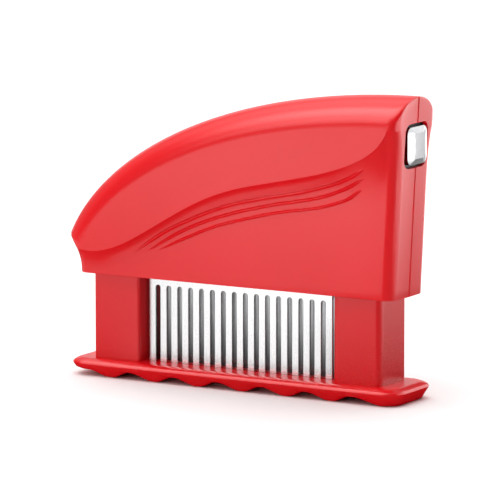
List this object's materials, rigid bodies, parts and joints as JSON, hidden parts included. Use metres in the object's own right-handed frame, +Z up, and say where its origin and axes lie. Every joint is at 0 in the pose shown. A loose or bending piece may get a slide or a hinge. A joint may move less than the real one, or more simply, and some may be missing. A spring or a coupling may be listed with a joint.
{
  "type": "blade meat tenderizer",
  "caption": "Hand tool whose sprung handle drives rows of thin steel blades down through a slotted guard foot; a button on the end frees the foot.",
  "frame": {"origin": "centre of the bounding box's base, on the table under the foot", "axes": "+X along the handle from its nose towards the button end, +Y to the back of the tool, +Z up along the stroke"},
  "size_m": [0.155, 0.032, 0.1188],
  "materials": {
    "handle_plastic": "satin red moulded plastic",
    "foot_plastic": "satin red moulded plastic",
    "column_plastic": "satin red moulded plastic",
    "frame_plastic": "matt dark red moulded plastic",
    "spacer_plastic": "matt dark grey nylon",
    "blade_steel": "polished stainless steel sheet",
    "bar_steel": "plain turned and cut steel",
    "spring_steel": "drawn spring wire",
    "screw_steel": "zinc-plated steel",
    "button_chrome": "bright chrome plating"
  },
  "bodies": {
    "foot": {"foot_plate": "foot_plastic", "left_column": "column_plastic", "right_column": "column_plastic", "foot_screws": "screw_steel", "left_return_spring": "spring_steel", "right_return_spring": "spring_steel"},
    "handle": {"front_shell": "handle_plastic", "rear_shell": "handle_plastic", "shell_screws": "screw_steel", "guide_frame": "frame_plastic", "front_blade_comb": "blade_steel", "middle_blade_comb": "blade_steel", "rear_blade_comb": "blade_steel", "front_comb_spacer": "spacer_plastic", "rear_comb_spacer": "spacer_plastic", "front_clamp_bar": "bar_steel", "rear_clamp_bar": "bar_steel", "blade_rivets": "bar_steel", "left_spring_pin": "bar_steel", "right_spring_pin": "bar_steel", "front_button_spring": "spring_steel", "rear_button_spring": "spring_steel"},
    "button": {"button_cap": "button_chrome", "latch_slide": "spacer_plastic", "button_screw": "screw_steel"}
  },
  "joints": [
    {"name": "handle_press", "type": "slide", "parent": "foot", "child": "handle", "axis": [0, 0, -1], "range_m": [0, 0.025], "stiffness_N_per_m": 1550, "springref_m": -0.006, "deforming": ["left_return_spring", "right_return_spring"]},
    {"name": "button_press", "type": "slide", "parent": "handle", "child": "button", "axis": [-1, 0, 0], "range_m": [0, 0.003], "stiffness_N_per_m": 900, "springref_m": -0.002, "deforming": ["front_button_spring", "rear_button_spring"]}
  ]
}
